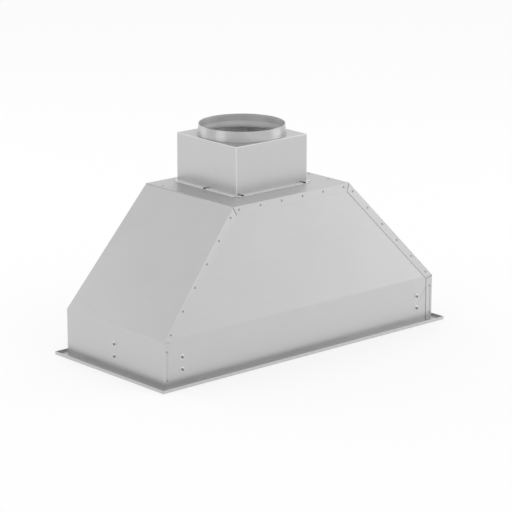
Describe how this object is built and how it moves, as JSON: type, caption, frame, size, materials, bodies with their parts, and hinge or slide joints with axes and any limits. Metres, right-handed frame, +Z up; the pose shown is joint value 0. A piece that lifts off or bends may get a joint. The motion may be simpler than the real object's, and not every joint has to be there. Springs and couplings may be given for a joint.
{
  "type": "range hood insert",
  "caption": "Brushed steel range hood insert: tapered shell on a lipped trim frame, outlet box with round duct collar, blower, damper, baffle filters, lamps and push buttons.",
  "frame": {"origin": "centre of the trim frame's outline, on the plane of its underside", "axes": "+Z up, -Y towards the front panel, +X to the right seen from the front"},
  "size_m": [0.864, 0.388, 0.5025],
  "materials": {
    "brushed_shell": "fine straight brushing, satin",
    "rivet_steel": "smooth domed heads",
    "zinc_fasteners": "bright zinc plate",
    "black_screws": "black oxide",
    "galvanised": "galvanised, faint spangle",
    "filter_steel": "satin",
    "handle_steel": "polished rod",
    "lamp_metal": "satin die casting",
    "frosted_lens": "frosted",
    "black_plastic": "fine texture",
    "button_steel": "turned faces",
    "board": "solder mask",
    "white_plastic": "smooth",
    "wheel_aluminium": "rolled sheet",
    "ground_steel": "ground rod",
    "leaf_aluminium": "mill finish",
    "black_paint": "satin black",
    "rubber": "moulded",
    "lead_sheath": "extruded sheath"
  },
  "bodies": {
    "hood": {"left_side_panel": "brushed_shell", "right_side_panel": "brushed_shell", "top_plate": "brushed_shell", "front_panel": "brushed_shell", "rear_panel": "brushed_shell", "trim_front": "brushed_shell", "trim_rear": "brushed_shell", "trim_left": "brushed_shell", "trim_right": "brushed_shell", "transition_box": "brushed_shell", "duct_collar": "brushed_shell", "rivets": "rivet_steel", "skirt_screws": "zinc_fasteners", "skirt_nuts": "zinc_fasteners", "box_screws": "black_screws", "light_panel": "brushed_shell", "grease_channel": "brushed_shell", "side_rail_left": "brushed_shell", "side_rail_right": "brushed_shell", "filter_divider": "brushed_shell", "filter_clips": "galvanised", "lamp_housing_left": "lamp_metal", "lamp_housing_right": "lamp_metal", "lamp_lens_left": "frosted_lens", "lamp_lens_right": "frosted_lens", "control_bezel": "black_plastic", "control_board": "board", "lamp_driver": "white_plastic", "electronics_cover": "galvanised", "blower_scroll": "galvanised", "blower_side_left": "galvanised", "blower_side_right": "galvanised", "motor": "black_paint", "motor_bracket": "galvanised", "motor_grommets": "rubber", "blower_screws": "zinc_fasteners", "capacitor": "white_plastic", "capacitor_clip": "galvanised", "motor_lead": "lead_sheath", "damper_frame": "galvanised", "damper_spindle": "ground_steel", "wiring_box": "galvanised", "wiring_cover": "galvanised", "cable_gland": "black_plastic"},
    "wheel": {"impeller": "wheel_aluminium", "motor_shaft": "ground_steel"},
    "front_leaf": {"damper_leaf_front": "leaf_aluminium"},
    "rear_leaf": {"damper_leaf_rear": "leaf_aluminium"},
    "left_filter": {"filter_frame_left": "filter_steel", "filter_baffles_left": "filter_steel", "filter_handle_left": "handle_steel"},
    "right_filter": {"filter_frame_right": "filter_steel", "filter_baffles_right": "filter_steel", "filter_handle_right": "handle_steel"},
    "power_button": {"button_power": "button_steel"},
    "slower_button": {"button_slower": "button_steel"},
    "faster_button": {"button_faster": "button_steel"},
    "timer_button": {"button_timer": "button_steel"},
    "light_button": {"button_light": "button_steel"}
  },
  "joints": [
    {"name": "wheel_spin", "type": "hinge", "parent": "hood", "child": "wheel", "pos_m": [0, 0.004, 0.19], "axis": [1, 0, 0], "continuous": true},
    {"name": "front_leaf_swing", "type": "hinge", "parent": "hood", "child": "front_leaf", "pos_m": [0, 0.08305, 0.37428], "axis": [-1, 0, 0], "range_deg": [0, 80]},
    {"name": "rear_leaf_swing", "type": "hinge", "parent": "hood", "child": "rear_leaf", "pos_m": [0, 0.08305, 0.37428], "axis": [1, 0, 0], "range_deg": [0, 80]},
    {"name": "left_filter_tilt", "type": "hinge", "parent": "hood", "child": "left_filter", "pos_m": [0, 0.1471, 0.0252], "axis": [1, 0, 0], "range_deg": [0, 35]},
    {"name": "right_filter_tilt", "type": "hinge", "parent": "hood", "child": "right_filter", "pos_m": [0, 0.1471, 0.0252], "axis": [1, 0, 0], "range_deg": [0, 35]},
    {"name": "power_press", "type": "slide", "parent": "hood", "child": "power_button", "axis": [0, 0, 1], "range_m": [0, 0.0015], "stiffness_N_per_m": 400, "springref_m": -0.001},
    {"name": "slower_press", "type": "slide", "parent": "hood", "child": "slower_button", "axis": [0, 0, 1], "range_m": [0, 0.0015], "stiffness_N_per_m": 400, "springref_m": -0.001},
    {"name": "faster_press", "type": "slide", "parent": "hood", "child": "faster_button", "axis": [0, 0, 1], "range_m": [0, 0.0015], "stiffness_N_per_m": 400, "springref_m": -0.001},
    {"name": "timer_press", "type": "slide", "parent": "hood", "child": "timer_button", "axis": [0, 0, 1], "range_m": [0, 0.0015], "stiffness_N_per_m": 400, "springref_m": -0.001},
    {"name": "light_press", "type": "slide", "parent": "hood", "child": "light_button", "axis": [0, 0, 1], "range_m": [0, 0.0015], "stiffness_N_per_m": 400, "springref_m": -0.001}
  ]
}
